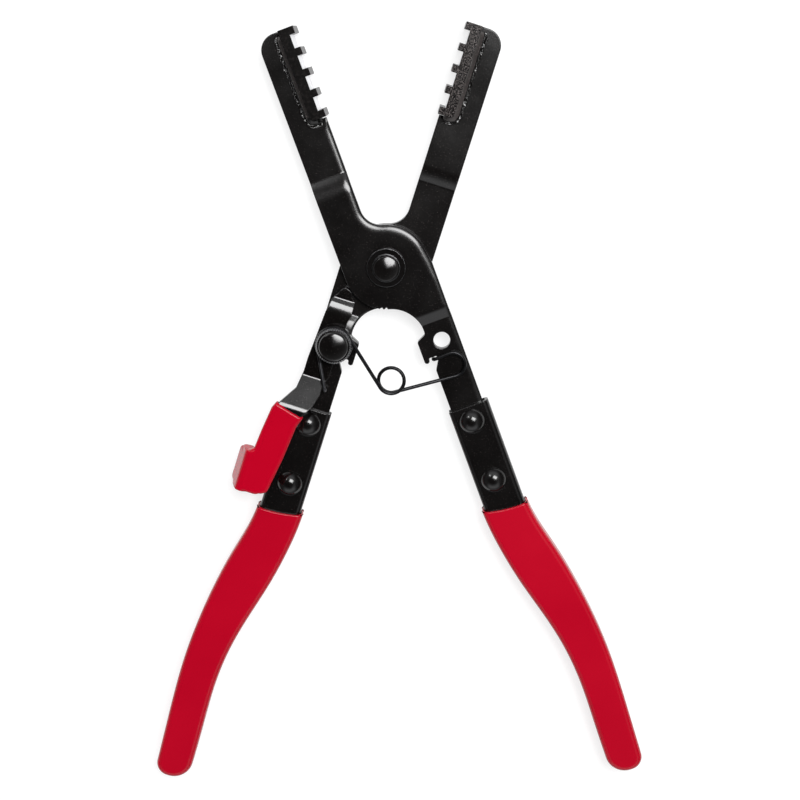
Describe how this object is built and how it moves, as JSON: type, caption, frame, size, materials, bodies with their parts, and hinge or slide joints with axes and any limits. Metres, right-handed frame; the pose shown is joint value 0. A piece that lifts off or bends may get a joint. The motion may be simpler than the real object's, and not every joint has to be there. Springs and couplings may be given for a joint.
{
  "type": "hose clamp pliers",
  "caption": "Long-handled hose clamp pliers with straight stamped arms, toothed jaw blocks, dipped red grips, a wire opening spring and a thumb-released ratchet lever.",
  "frame": {"origin": "centre of the bounding box in X and Y, on the plane of the toothed blocks' back faces, on which the tool lies", "axes": "+Y from the handles to the jaws, along the line halfway between the arms; +Z along the pivot, from the bench to the domed side of the pivot rivet; +X toward the right handle"},
  "size_m": [0.183, 0.2768, 0.0216],
  "materials": {
    "black_paint": "satin black",
    "dark_steel": "darkened, polished on the domes",
    "spring_steel": "darkened wire",
    "red_vinyl": "dipped, glossy"
  },
  "bodies": {
    "rear_half": {"rear_arm": "black_paint", "right_jaw_rack": "black_paint", "right_front_weld": "black_paint", "right_back_weld": "black_paint", "left_channel": "black_paint", "left_upper_rivet": "dark_steel", "left_lower_rivet": "dark_steel", "left_grip": "red_vinyl", "pivot_rivet": "dark_steel", "pivot_washer": "dark_steel", "lever_post": "dark_steel", "post_washer": "dark_steel", "opening_spring": "spring_steel"},
    "front_half": {"front_arm": "black_paint", "left_jaw_rack": "black_paint", "left_front_weld": "black_paint", "left_back_weld": "black_paint", "right_channel": "black_paint", "right_upper_rivet": "dark_steel", "right_lower_rivet": "dark_steel", "right_grip": "red_vinyl"},
    "lever": {"ratchet_lever": "black_paint", "lever_grip": "red_vinyl"}
  },
  "joints": [
    {"name": "jaw_hinge", "type": "hinge", "parent": "rear_half", "child": "front_half", "pos_m": [0, 0.05407, 0.009], "axis": [0, 0, -1], "range_deg": [0, 36], "stiffness_Nm_per_rad": 0.4, "springref_deg": -34.38, "deforming": ["opening_spring"]},
    {"name": "lever_hinge", "type": "hinge", "parent": "rear_half", "child": "lever", "pos_m": [-0.01919, 0.02723, 0.0121], "axis": [0, 0, 1], "range_deg": [0, 8], "stiffness_Nm_per_rad": 0.1, "springref_deg": -28.65, "deforming": ["opening_spring"]}
  ]
}
